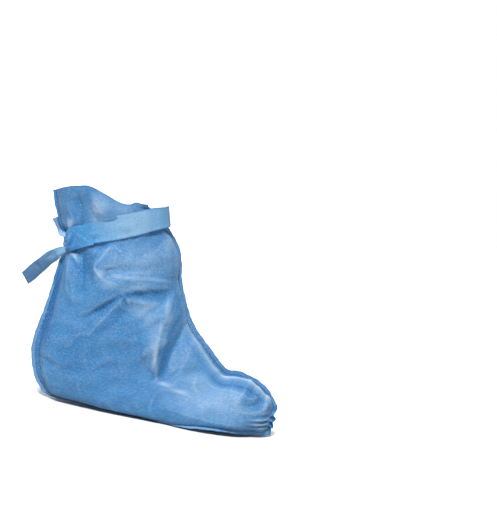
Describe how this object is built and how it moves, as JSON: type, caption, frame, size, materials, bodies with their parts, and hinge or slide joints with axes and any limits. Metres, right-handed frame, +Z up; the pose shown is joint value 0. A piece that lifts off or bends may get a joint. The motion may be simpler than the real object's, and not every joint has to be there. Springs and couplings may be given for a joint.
{
  "type": "disposable boot cover",
  "caption": "Ankle-high boot cover of thin blue nonwoven cloth: two side panels with an outer seam all round, held at the ankle by a flat strip tied behind.",
  "frame": {"origin": "on the inner face of the sole, under the middle of the leg, where the wearer's foot carries the cover", "axes": "+X to the toe, +Z up the leg, -Y the near side, on which the strip is knotted"},
  "size_m": [0.3581, 0.1075, 0.2816],
  "materials": {
    "panel_cloth": "matt nonwoven with a faint sheen",
    "tie_cloth": "matt nonwoven with a faint sheen"
  },
  "bodies": {
    "root": {"near_side_panel": "panel_cloth", "far_side_panel": "panel_cloth", "tie_band": "tie_cloth", "tie_knot": "tie_cloth", "tie_long_end": "tie_cloth", "tie_short_end": "tie_cloth"}
  },
  "joints": []
}
